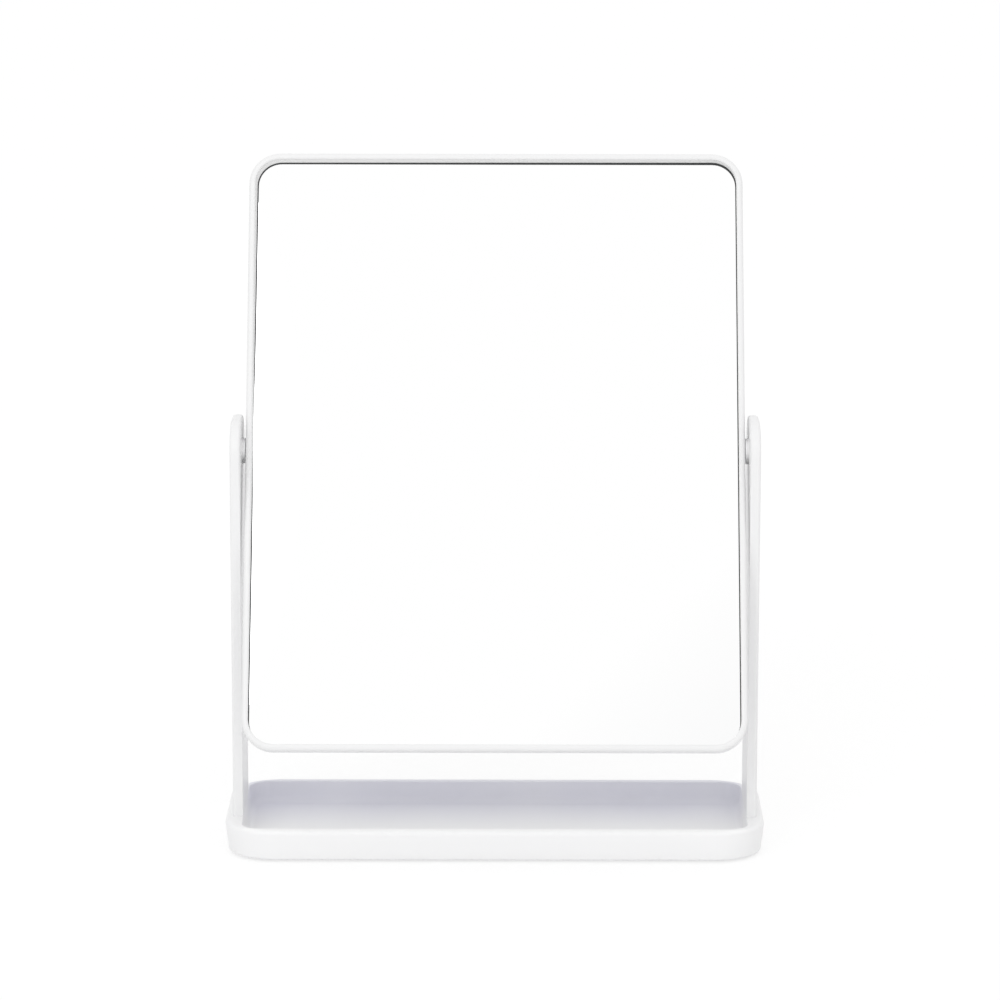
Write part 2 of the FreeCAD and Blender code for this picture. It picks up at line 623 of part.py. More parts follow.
def bearing_cradle(body, side, sign):
    """Stand three walls round a bearing block."""
    middle = f"{sign} * (bearing_outer - cradle_length / 2)"
    walls = (("upper", middle, "cradle_side", "cradle_length", "rib_thickness"),
             ("lower", middle, "-cradle_side", "cradle_length", "rib_thickness"),
             ("end", f"{sign} * cradle_end", NOWHERE, "rib_thickness", "2 * cradle_side"))
    for name, x, y, width, height in walls:
        wall = new_sketch(body, f"{side}_{name}_wall", "XZ_Plane", x=x, y=y, z="-cover_inside")
        rectangle(wall, "wall", width, height)
        extrude("Pad", wall, "cover_inside")


def bearing_block(side, sign):
    """Mould the slit block that grips a pivot pin inside the head."""
    body = new_body(f"{side}_bearing_block")
    base = new_sketch(body, "base", "XZ_Plane", x=f"{sign} * bearing_middle", z="-cover_inside")
    rectangle(base, "block", "bearing_length", "bearing_height")
    block = extrude("Pad", base, "cover_inside + glass_back - bearing_glass_gap")
    front = all_of(at("Y", "bearing_glass_gap - glass_back"), along("X"))
    eased = dress("Chamfer", block, "corners", "bearing_edge", front)
    heel = all_of(at("Y", "cover_inside"), at("X", f"{sign} * bearing_outer"))
    dress("Chamfer", eased, "heel", "cover_inner_round", heel)
    bore = new_sketch(body, "bore", "YZ_Plane", z=f"{sign} * bearing_inner")
    circle(bore, "bore", "pin_diameter + 2 * pin_running_clearance")
    extrude("Pocket", bore, "bearing_length", back=sign > 0)
    slit = new_sketch(body, "slit", "XZ_Plane", x=f"{sign} * bearing_middle", z="glass_back")
    rectangle(slit, "slit", "bearing_length + 2 * cut_overrun", "bearing_slit")
    extrude("Pocket", slit, "glass_back")
    lean_back(body)
    return body


def foam_strip(name, x, z, width, height):
    """Cut one cushion strip that lies between the cover's rib and the glass."""
    body = new_body(f"foam_strip_{name}")
    strip = new_sketch(body, "strip", "XZ_Plane", x=x, y=z, z="foam_seat")
    rectangle(strip, "strip", width, height)
    extrude("Pad", strip, "foam_thickness")
    lean_back(body)
    return body


def foam_strips():
    """Cut the four cushion strips along the cover's rib."""
    across = "head_width - 2 * (foam_inset + foam_end_gap)"
    upright = "head_height - 2 * (foam_inset + foam_end_gap)"
    side_place, end_place = "(head_width / 2 - foam_inset)", "(head_height / 2 - foam_inset)"
    return [
        foam_strip("top", NOWHERE, end_place, across, "foam_width"),
        foam_strip("bottom", NOWHERE, f"-{end_place}", across, "foam_width"),
        foam_strip("left", f"-{side_place}", NOWHERE, "foam_width", upright),
        foam_strip("right", side_place, NOWHERE, "foam_width", upright),
    ]


def write_parts(bodies):
    """Check every object of the document, then write one file for each sub-part."""
    doc.recompute()
    for item in doc.Objects:
        if {"Invalid", "Error"} & set(item.State):
            raise ValueError(f"{item.Name} failed: {item.State}")
    for body in bodies:
        if body.Shape.isNull() or not body.Shape.isValid() or len(body.Shape.Solids) != 1:
            raise ValueError(f"{body.Label} is not one sound solid")
    os.makedirs("parts", exist_ok=True)
    for body in bodies:
        body.Shape.exportStep(f"parts/{body.Label}.step")
        print(f"{body.Label}: {body.Shape.Volume:.0f} mm3")


bodies = [tray_shell()]
for side, sign in SIDES.items():
    bodies += [arm(side, sign), pivot_pin(side, sign), slip_washer(side, sign), bearing_block(side, sign)]
    for end in ENDS:
        bodies += [arm_screw(side, end), rubber_foot(side, end)]
bodies += [bezel_frame(), mirror_glass(), rear_cover()]
bodies += foam_strips()
write_parts(bodies)
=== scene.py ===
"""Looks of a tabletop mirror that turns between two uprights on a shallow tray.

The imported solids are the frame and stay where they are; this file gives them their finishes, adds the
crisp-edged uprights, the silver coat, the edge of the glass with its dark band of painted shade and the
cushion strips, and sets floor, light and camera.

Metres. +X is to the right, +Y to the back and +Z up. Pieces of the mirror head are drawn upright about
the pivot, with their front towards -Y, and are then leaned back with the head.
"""

import logging
import math
from dataclasses import dataclass, field
from enum import Enum
from typing import Any, ClassVar

import bmesh
import bpy
from mathutils import Matrix, Vector


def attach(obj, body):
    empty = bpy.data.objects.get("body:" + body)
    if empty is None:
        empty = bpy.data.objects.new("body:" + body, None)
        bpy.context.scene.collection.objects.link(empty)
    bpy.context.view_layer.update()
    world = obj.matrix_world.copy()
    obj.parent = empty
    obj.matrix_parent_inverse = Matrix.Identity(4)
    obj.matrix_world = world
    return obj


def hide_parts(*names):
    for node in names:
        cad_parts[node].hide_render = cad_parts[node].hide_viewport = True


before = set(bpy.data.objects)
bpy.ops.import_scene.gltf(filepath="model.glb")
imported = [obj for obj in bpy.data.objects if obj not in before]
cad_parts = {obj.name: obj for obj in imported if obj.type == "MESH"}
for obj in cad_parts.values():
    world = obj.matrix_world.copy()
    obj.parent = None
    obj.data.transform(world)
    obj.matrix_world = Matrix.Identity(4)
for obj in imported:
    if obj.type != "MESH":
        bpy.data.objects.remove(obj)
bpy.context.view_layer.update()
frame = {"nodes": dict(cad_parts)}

LOG = logging.getLogger("tabletop_mirror")
Colour = tuple[float, float, float]
Stretch = tuple[float, float, float]
Pair = tuple[float, float]
Outline = list[tuple[float, float]]
Ring = list[bmesh.types.BMVert]
EVEN: Stretch = (1.0, 1.0, 1.0)
WHITE = (1.0, 1.0, 1.0, 1.0)


class Body(Enum):
    """The two rigid bodies of the mirror."""

    STAND = "stand"
    HEAD = "mirror_head"


class Side(Enum):
    """The two sides of the stand, with their direction along X."""

    LEFT = -1.0
    RIGHT = 1.0

    @property
    def label(self) -> str:
        """Give the side's name as it stands in the names of the solids."""
        return self.name.lower()


class End(Enum):
    """The two ends of a side, as they stand in the names of the solids."""

    FRONT = "front"
    REAR = "rear"


@dataclass(frozen=True)
class Pattern:
    """Soft random spots.

    Attributes:
        size: Rough size of a spot, in metres.
        detail: Octaves of finer spots.
        stretch: How many times finer the spots are along X, Y and Z.
    """

    size: float
    detail: float = 2.0
    stretch: Stretch = EVEN


class Wire:
    """A node's output that can be used in Python sums; each sum adds a Math node."""

    def __init__(self, graph: "Graph", socket: bpy.types.NodeSocket) -> None:
        """Keep the socket and the graph that it belongs to."""
        self.graph = graph
        self.socket = socket

    def _sum(self, operation: str, first: "Wire | float", second: "Wire | float") -> "Wire":
        """Add a Math node for two values and give its result."""
        return self.graph.add("ShaderNodeMath", {"operation": operation}, {0: first, 1: second})

    def __add__(self, other: "Wire | float") -> "Wire":
        """Give self + other."""
        return self._sum("ADD", self, other)

    def __radd__(self, other: float) -> "Wire":
        """Give other + self."""
        return self._sum("ADD", other, self)

    def __sub__(self, other: "Wire | float") -> "Wire":
        """Give self - other."""
        return self._sum("SUBTRACT", self, other)

    def __rsub__(self, other: float) -> "Wire":
        """Give other - self."""
        return self._sum("SUBTRACT", other, self)

    def __mul__(self, other: "Wire | float") -> "Wire":
        """Give self * other."""
        return self._sum("MULTIPLY", self, other)

    def __rmul__(self, other: float) -> "Wire":
        """Give other * self."""
        return self._sum("MULTIPLY", other, self)

    def __abs__(self) -> "Wire":
        """Give self without its sign."""
        return self._sum("ABSOLUTE", self, 0.0)


class Graph:
    """The node tree of one material or of the world."""

    def __init__(self, tree: bpy.types.NodeTree) -> None:
        """Start with an empty tree."""
        self.tree = tree
        tree.nodes.clear()

    def add(self, kind: str, settings: dict[str, Any], inputs: dict[str | int, Any],
            output: str | int = 0) -> Wire:
        """Add one node.

        Args:
            kind: The node's type.
            settings: Attributes that are set first.
            inputs: Values or wires for its sockets, by name or number.
            output: The socket that is handed on.

        Returns:
            The chosen output, or the first input of a node that has no outputs.
        """
        node = self.tree.nodes.new(kind)
        for name, value in settings.items():
            setattr(node, name, value)
        for key, value in inputs.items():
            if isinstance(value, Wire):
                self.tree.links.new(value.socket, node.inputs[key])
            else:
                node.inputs[key].default_value = value
        return Wire(self, node.outputs[output]) if len(node.outputs) else Wire(self, node.inputs[0])

    def place(self, stretch: Stretch = EVEN) -> Wire:
        """Give the place on the piece, in metres, stretched along X, Y and Z for a finer pattern."""
        point = self.add("ShaderNodeTexCoord", {}, {}, "Object")
        return self.add("ShaderNodeVectorMath", {"operation": "MULTIPLY"}, {0: point, 1: stretch})

    def noise(self, pattern: Pattern) -> Wire:
        """Give the strength of a pattern of spots, between 0 and 1."""
        return self.add("ShaderNodeTexNoise", {"noise_dimensions": "3D"},
                        {"Vector": self.place(pattern.stretch), "Scale": 1.0 / pattern.size,
                         "Detail": pattern.detail}, "Fac")

    def between(self, limits: Pair, share: Wire) -> Wire:
        """Go from the low to the high limit while a share goes from 0 to 1."""
        low, high = limits
        return low + (high - low) * share

    def mix(self, share: Wire, low: Wire | Colour, high: Wire | Colour) -> Wire:
        """Blend two colours; a share of 0 gives the first, and 1 the second."""
        first, second = (colour if isinstance(colour, Wire) else (*colour, 1.0) for colour in (low, high))
        return self.add("ShaderNodeMix", {"data_type": "RGBA"}, {"Factor": share, 6: first, 7: second}, 2)

    def ramp(self, value: Wire, start: float, end: float) -> Wire:
        """Rise from 0 to 1 while a value goes from start to end, and stay level outside."""
        return self.add("ShaderNodeMapRange", {"clamp": True},
                        {"Value": value, "From Min": start, "From Max": end})

    def below(self, value: Wire, limit: float, fade: float) -> Wire:
        """Give 1 where a value is below a limit, falling to 0 over a fade beyond it."""
        return 1.0 - self.ramp(value, limit, limit + fade)

    def axis(self, name: str) -> Wire:
        """Give the place on the piece along one axis, in metres."""
        return self.add("ShaderNodeSeparateXYZ", {}, {0: self.place()}, name)

    def bump(self, height: Wire, depth: float) -> Wire:
        """Turn heights between 0 and 1 into a surface normal, for a real depth in metres."""
        return self.add("ShaderNodeBump", {}, {"Height": height, "Distance": depth, "Strength": 1.0})

    def surface(self, inputs: dict[str | int, Any]) -> None:
        """Finish a material with one principled surface, with values or wires for its sockets."""
        shader = self.add("ShaderNodeBsdfPrincipled", {}, inputs)
        self.add("ShaderNodeOutputMaterial", {}, {"Surface": shader})


@dataclass(frozen=True)
class Finish:
    """A finish that can be given to any piece.

    Attributes:
        name: The material's name.
    """

    made: ClassVar[dict["Finish", bpy.types.Material]] = {}

    name: str

    def shade(self, graph: Graph) -> None:
        """Build the finish's nodes in a new graph."""
        raise NotImplementedError

    def material(self) -> bpy.types.Material:
        """Give the finish's material, made the first time it is asked for.

        Returns:
            The material.
        """
        if self not in Finish.made:
            new = bpy.data.materials.new(self.name)
            new.use_nodes = True
            self.shade(Graph(new.node_tree))
            Finish.made[self] = new
        return Finish.made[self]

    def give(self, piece: bpy.types.Object) -> None:
        """Put the finish on every face of a piece.

        Args:
            piece: A solid of the frame or a piece of this scene.
        """
        if not piece.material_slots:
            piece.data.materials.append(self.material())
        for place in piece.material_slots:
            place.material = self.material()
        LOG.info("%s gets %s", piece.name, self.name)


@dataclass(frozen=True)
class MouldedPlastic(Finish):
    """White injection-moulded plastic with flow clouds, uneven gloss and a spark-eroded grain.

    Attributes:
        pale: Colour of the bright clouds.
        deep: Colour of the dull clouds.
        gloss: Lowest and highest roughness.
        grain: The mould's grain.
        grain_depth: Depth of the grain.
        clouds: Flow clouds.
        smears: Uneven gloss, which tints the plastic too.
        cloud_share: Share of the clouds in the tint; the smears have the rest.
        shine: Strength of the reflections.
    """

    pale: Colour
    deep: Colour
    gloss: Pair = (0.30, 0.42)
    grain: Pattern = Pattern(0.00045, 1.0)
    grain_depth: float = 0.000004
    clouds: Pattern = Pattern(0.035, 3.0)
    smears: Pattern = Pattern(0.006, 4.0, (1.0, 1.0, 0.4))
    cloud_share: float = 0.7
    shine: float = 0.45

    def colour(self, graph: Graph, tint: Wire) -> Wire:
        """Give the plastic's colour from the strength of its tint."""
        return graph.mix(tint, self.deep, self.pale)

    def shade(self, graph: Graph) -> None:
        """Build clouds, uneven gloss and grain.

        Args:
            graph: The graph of the new material.
        """
        clouds, smears, grain = (graph.noise(spots) for spots in (self.clouds, self.smears, self.grain))
        tint = clouds * self.cloud_share + smears * (1.0 - self.cloud_share)
        graph.surface({
            "Base Color": self.colour(graph, tint),
            "Roughness": graph.between(self.gloss, smears),
            "Normal": graph.bump(grain, self.grain_depth),
            "Specular IOR Level": self.shine,
        })


@dataclass(frozen=True)
class TrayPlastic(MouldedPlastic):
    """Moulded plastic, with a painted highlight on the front lip and painted lavender shade at the back of
    the recess.

    Attributes:
        lip: Colour of the painted highlight on the lip.
        lip_height: How far the painted highlight reaches down from the rim's top.
        recess_shade: Colour of the painted shade at its strongest.
        recess_shade_from: Place along Y where it starts.
        recess_shade_to: Place along Y where it is strongest.
        recess: Half the width and half the length of the recess.
        corner: How far out its rounded corners reach, width and length together.
        floor: Height of its floor.
        rim: Height of the rim.
        rim_back: Where the flat top of the rim ends at the back.
        fade: Distance over which the painted shade and the painted highlight end.
        streaks: Streaks that run up the back wall and over the floor, along which the painted shade is weaker
            and stronger.
        streak_range: Weakest and strongest painted shade in the streaks.
    """

    lip: Colour = (0.99, 0.99, 0.99)
    lip_height: float = 0.0012
    recess_shade: Colour = (0.79, 0.79, 0.858)
    recess_shade_from: float = -0.005
    recess_shade_to: float = 0.034
    recess: Pair = (0.1003, 0.0358)
    corner: float = 0.1312
    floor: float = 0.0042
    rim: float = 0.0131
    rim_back: float = 0.0385
    fade: float = 0.0008
    streaks: Pattern = Pattern(0.04, 1.0, (1.0, 0.1, 0.1))
    streak_range: Pair = (0.55, 1.45)

    def colour(self, graph: Graph, tint: Wire) -> Wire:
        """Blend painted lavender shade over the plain colour inside the recess and on the back of the rim,
        and a painted highlight along the front lip.

        Args:
            graph: The material's graph.
            tint: The strength of the plastic's tint.

        Returns:
            The colour.
        """
        # Painted shade: darker lavender inside the recess and on the back of the rim, growing towards the
        # back and patchy along the streaks.
        across, back, up = abs(graph.axis("X")), graph.axis("Y"), graph.axis("Z")
        width, length = self.recess
        side, ends = graph.below(across, width, self.fade), graph.below(abs(back), length, self.fade)
        above = graph.ramp(up, self.floor - self.fade, self.floor)
        hollow = side * ends * above * graph.below(across + abs(back), self.corner, self.fade)
        flat = graph.ramp(up, self.rim - self.fade, self.rim)
        top = side * graph.below(back, self.rim_back, self.fade) * flat
        streaks = graph.between(self.streak_range, graph.noise(self.streaks))
        strength = graph.ramp(back, self.recess_shade_from, self.recess_shade_to) * graph.ramp(hollow + top, 0.0, 1.0)
        # Painted highlight: a whiter band along the top of the front lip.
        lip_highlight_mask = graph.below(back, -length, self.fade) * graph.ramp(up, self.rim - self.lip_height, self.rim)
        plain = graph.mix(lip_highlight_mask, super().colour(graph, tint), self.lip)
        return graph.mix(strength * streaks, plain, self.recess_shade)


@dataclass(frozen=True)
class SilveredGlass(Finish):
    """Mirror silver seen through clear glass, with a painted dim reflection towards the lower right corner.

    Attributes:
        clear: Colour of the clean silver.
        dim_reflection: Colour of the painted dim reflection.
        dim_reflection_from: How far right and down of the middle the painted dim reflection begins.
        dim_reflection_reach: Distance over which it grows to its full strength.
        dim_reflection_slant: How much the way to the right counts beside the way down.
        polish: Faint unevenness of the polish.
        gloss: Lowest and highest roughness.
    """

    clear: Colour = (1.0, 1.0, 1.0)
    dim_reflection: Colour = (0.955, 0.955, 0.957)
    dim_reflection_from: float = 0.125
    dim_reflection_reach: float = 0.08
    dim_reflection_slant: float = 0.9
    polish: Pattern = Pattern(0.05)
    gloss: Pair = (0.002, 0.008)

    def shade(self, graph: Graph) -> None:
        """Build the silver, its painted dim reflection and its faint polish.

        Args:
            graph: The graph of the new material.
        """
        # Painted reflection: the silver turns greyer towards the lower right corner.
        way = graph.axis("X") * self.dim_reflection_slant - graph.axis("Z")
        dim_reflection_share = graph.ramp(way, self.dim_reflection_from, self.dim_reflection_from + self.dim_reflection_reach)
        graph.surface({
            "Base Color": graph.mix(dim_reflection_share, self.clear, self.dim_reflection),
            "Metallic": 1.0,
            "Roughness": graph.between(self.gloss, graph.noise(self.polish)),
        })


@dataclass(frozen=True)
class GlassEdgeShade(Finish):
    """The edge of the glass: pale and ground in front, with dark painted shade at the back where the frame's
    lip shades it.

    Attributes:
        ground: Colour of the ground glass.
        paint: Colour of the painted shade.
        paint_front: How far ahead of the axis the painted shade reaches.
        paint_fade: Width of its wavy edge.
        edge_wobble: Streaks that make the edge of the painted shade wavy and the surface uneven.
        edge_wobble_depth: Depth of the streaks.
        gloss: Lowest and highest roughness.
    """

    ground: Colour = (0.86, 0.86, 0.86)
    paint: Colour = (0.020, 0.022, 0.023)
    paint_front: float = 0.00310
    paint_fade: float = 0.0001
    edge_wobble: Pattern = Pattern(0.0025, 4.0, (0.3, 1.0, 0.3))
    edge_wobble_depth: float = 0.00001
    gloss: Pair = (0.35, 0.65)

    def shade(self, graph: Graph) -> None:
        """Build ground glass in front of painted shade with a wavy edge.

        Args:
            graph: The graph of the new material.
        """
        streaks = graph.noise(self.edge_wobble)
        # Painted shade: the back of the glass edge is dark, standing for the shade under the frame's lip.
        ahead = 0.0 - graph.axis("Y") + streaks * self.paint_fade
        bare = graph.ramp(ahead, self.paint_front, self.paint_front + self.paint_fade)
        graph.surface({
            "Base Color": graph.mix(bare, self.paint, self.ground),
            "Roughness": graph.between(self.gloss, streaks),
            "Normal": graph.bump(streaks, self.edge_wobble_depth),
        })


@dataclass(frozen=True)
class PlatedSteel(Finish):
    """Zinc-plated steel, drawn or turned.

    Attributes:
        bright: Colour of the plating.
        dull: Colour of its grey bloom.
        marks: Tool marks.
        mark_depth: Depth of the marks.
        bloom: Where the bloom lies.
        gloss: Lowest and highest roughness.
    """

    bright: Colour = (0.68, 0.68, 0.67)
    dull: Colour = (0.48, 0.48, 0.49)
    marks: Pattern = Pattern(0.0012, 3.0, (12.0, 1.0, 1.0))
    mark_depth: float = 0.000012
    bloom: Pattern = Pattern(0.0025, 3.0)
    gloss: Pair = (0.22, 0.44)

    def shade(self, graph: Graph) -> None:
        """Build tool marks and bloom.

        Args:
            graph: The graph of the new material.
        """
        marks, bloom = graph.noise(self.marks), graph.noise(self.bloom)
        graph.surface({
            "Base Color": graph.mix(bloom, self.bright, self.dull),
            "Metallic": 1.0,
            "Roughness": graph.between(self.gloss, marks),
            "Normal": graph.bump(marks, self.mark_depth),
        })


@dataclass(frozen=True)
class NaturalNylon(Finish):
    """Undyed nylon: milky, a little waxy.

    Attributes:
        milk: Colour of the bright clouds.
        cream: Colour of the dull clouds.
        clouds: The clouds.
        skin: Unevenness of the waxy skin.
        skin_depth: Depth of that unevenness.
        gloss: Lowest and highest roughness.
    """

    milk: Colour = (0.86, 0.85, 0.81)
    cream: Colour = (0.78, 0.76, 0.69)
    clouds: Pattern = Pattern(0.004, 3.0)
    skin: Pattern = Pattern(0.0006)
    skin_depth: float = 0.000008
    gloss: Pair = (0.38, 0.53)

    def shade(self, graph: Graph) -> None:
        """Build milky clouds and a waxy skin.

        Args:
            graph: The graph of the new material.
        """
        clouds, skin = graph.noise(self.clouds), graph.noise(self.skin)
        graph.surface({
            "Base Color": graph.mix(clouds, self.milk, self.cream),
            "Roughness": graph.between(self.gloss, skin),
            "Normal": graph.bump(skin, self.skin_depth),
        })


@dataclass(frozen=True)
class SoftRubber(Finish):
    """Grey rubber of the feet, with a dusty, pitted skin.

    Attributes:
        grey: Colour of the rubber.
        dusty: Colour of the dust on it.
        dust: Where the dust lies.
        pits: Pits of the skin.
        pit_depth: Depth of the pits.
        gloss: Lowest and highest roughness.
    """

    grey: Colour = (0.42, 0.42, 0.43)
    dusty: Colour = (0.55, 0.55, 0.55)
    dust: Pattern = Pattern(0.0035, 4.0)
    pits: Pattern = Pattern(0.0004)
    pit_depth: float = 0.00003
    gloss: Pair = (0.7, 0.9)

    def shade(self, graph: Graph) -> None:
        """Build dust and pits.

        Args:
            graph: The graph of the new material.
        """
        dust, pits = graph.noise(self.dust), graph.noise(self.pits)
        graph.surface({
            "Base Color": graph.mix(dust, self.grey, self.dusty),
            "Roughness": graph.between(self.gloss, dust),
            "Normal": graph.bump(pits, self.pit_depth),
        })


@dataclass(frozen=True)
class ClosedCellFoam(Finish):
    """Dark foam tape with open bubbles along its cut sides.

    Attributes:
        wall: Colour of the bubble walls.
        bubble: Colour inside a bubble.
        bubbles: Large bubbles along a metre.
        fine: Fine bubbles.
        bubble_share: Share of the large bubbles in the relief; the fine ones have the rest.
        relief: Depth of the bubbles.
        gloss: Lowest and highest roughness.
    """

    wall: Colour = (0.075, 0.075, 0.08)
    bubble: Colour = (0.02, 0.02, 0.022)
    bubbles: float = 2200.0
    fine: Pattern = Pattern(0.0003)
    bubble_share: float = 0.8
    relief: float = 0.0001
    gloss: Pair = (0.85, 0.95)

    def shade(self, graph: Graph) -> None:
        """Build bubbles of two sizes.

        Args:
            graph: The graph of the new material.
        """
        cells = graph.add("ShaderNodeTexVoronoi", {"feature": "F1"},
                          {"Vector": graph.place(), "Scale": self.bubbles}, "Distance")
        fine = graph.noise(self.fine)
        height = cells * self.bubble_share + fine * (1.0 - self.bubble_share)
        graph.surface({
            "Base Color": graph.mix(cells, self.bubble, self.wall),
            "Roughness": graph.between(self.gloss, fine),
            "Normal": graph.bump(height, self.relief),
        })


@dataclass(frozen=True)
class StudioFloor(Finish):
    """A pale matt table top that shows as white, apart from the shadow on it.

    Attributes:
        matt: Grey level that lights the object from below.
        dim: Share of that level between the fibres.
        fibres: Fibres of the top.
        shown: Share of the shadow that shows.
        white: Strength of the white where it is seen.
    """

    matt: float = 0.95
    dim: float = 0.98
    fibres: Pattern = Pattern(0.002, 3.0)
    shown: float = 0.27
    white: float = 1.05

    def shade(self, graph: Graph) -> None:
        """Build a matt surface that is mostly white where it is seen.

        Args:
            graph: The graph of the new material.
        """
        low, high = ((level, level, level) for level in (self.dim * self.matt, self.matt))
        pale = graph.mix(graph.noise(self.fibres), low, high)
        matt = graph.add("ShaderNodeBsdfDiffuse", {}, {"Color": pale})
        white = graph.add("ShaderNodeEmission", {}, {"Color": WHITE, "Strength": self.white})
        share = seen_rays(graph) * (1.0 - self.shown)
        seen = graph.add("ShaderNodeMixShader", {}, {0: share, 1: matt, 2: white})
        graph.add("ShaderNodeOutputMaterial", {}, {"Surface": seen})


def seen_rays(graph: Graph) -> Wire:
    """Mark the rays that show a surface: from the camera, in a reflection or through glass.

    Args:
        graph: The graph that asks.

    Returns:
        1 on such rays, 0 on rays that only carry light.
    """
    camera, glossy, through = (graph.add("ShaderNodeLightPath", {}, {}, f"Is {kind} Ray")
                               for kind in ("Camera", "Glossy", "Transmission"))
    mirrored = graph.add("ShaderNodeMath", {"operation": "MAXIMUM"}, {0: glossy, 1: through})
    return graph.add("ShaderNodeMath", {"operation": "MAXIMUM"}, {0: camera, 1: mirrored})


def rounded_outline(width: float, height: float, radius: float, steps: int = 12) -> Outline:
    """Draw a rectangle with round corners about its middle.

    Args:
        width: Size across.
        height: Size up and down.
        radius: Radius of the corners.
        steps: Straight pieces in one corner.

    Returns:
        Points across and up, anticlockwise.
    """
    points: Outline = []
    for corner, (right, up) in enumerate(((1, -1), (1, 1), (-1, 1), (-1, -1))):
        for step in range(steps + 1):
            angle = math.pi / 2 * (corner - 1 + step / steps)
            points.append((right * (width / 2 - radius) + radius * math.cos(angle),
                           up * (height / 2 - radius) + radius * math.sin(angle)))
    return points


def add_piece(name: str, mesh: bmesh.types.BMesh, place: Matrix) -> bpy.types.Object:
    """Turn a drawn mesh into a piece of the scene.

    Args:
        name: The piece's name.
        mesh: The mesh, which is used up.
        place: Where it stands in the shared frame.

    Returns:
        The new piece.
    """
    bmesh.ops.recalc_face_normals(mesh, faces=mesh.faces)
    data = bpy.data.meshes.new(name)
    mesh.to_mesh(data)
    mesh.free()
    piece = bpy.data.objects.new(name, data)
    piece.matrix_world = place
    bpy.context.scene.collection.objects.link(piece)
    return piece


def refined(points: Outline, longest: float = 0.01) -> Outline:
    """Divide the long straight runs of a closed outline.

    Args:
        points: The outline.
        longest: Longest run that is left whole.

    Returns:
        The outline with more points.
    """
    finer: Outline = []
    for (x, z), (next_x, next_z) in zip(points, [*points[1:], points[0]]):
        count = max(1, math.ceil(math.hypot(next_x - x, next_z - z) / longest))
        finer += [(x + (next_x - x) * i / count, z + (next_z - z) * i / count) for i in range(count)]
    return finer


def circle_outline(radius: float, steps: int) -> Outline:
    """Draw a circle of straight pieces about its middle."""
    turns = [2 * math.pi * step / steps for step in range(steps)]
    return [(radius * math.cos(turn), radius * math.sin(turn)) for turn in turns]


def bridge(mesh: bmesh.types.BMesh, low: Ring, high: Ring, closed: bool = True) -> None:
    """Join two rings of points with a band of faces.

    Args:
        mesh: The mesh.
        low: The first ring.
        high: The second ring, with as many points.
        closed: Whether the band also joins the last point to the first.
    """
    count = len(low)
    for i in range(count if closed else count - 1):
        mesh.faces.new((low[i], low[(i + 1) % count], high[(i + 1) % count], high[i]))


def loft(mesh: bmesh.types.BMesh, rings: list[Ring], closed: bool = True) -> None:
    """Join each ring of points to the next, and their last points to their first if closed."""
    for low, high in zip(rings, rings[1:]):
        bridge(mesh, low, high, closed)


def fill(mesh: bmesh.types.BMesh, *rings: Ring) -> None:
    """Fill the flat area inside one ring of points, round the rings within it.

    Args:
        mesh: The mesh.
        rings: The outer ring, and a ring for each hole.
    """
    edges = []
    for ring in rings:
        for pair in zip(ring, [*ring[1:], ring[0]]):
            edges.append(mesh.edges.get(pair) or mesh.edges.new(pair))
    bmesh.ops.triangle_fill(mesh, use_beauty=True, edges=edges)


def fasten(piece: bpy.types.Object, body: Body, slot: str, finish: Finish, *nodes: str) -> bpy.types.Object:
    """Let a new piece ride on a body and give it its finish.

    Args:
        piece: The new piece.
        body: The body that it moves with.
        slot: The record's material slot; not used.
        finish: Its finish.
        nodes: Solids of the frame that it stands for.

    Returns:
        The piece.
    """
    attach(piece, body.value)
    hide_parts(*nodes)
    finish.give(piece)
    return piece


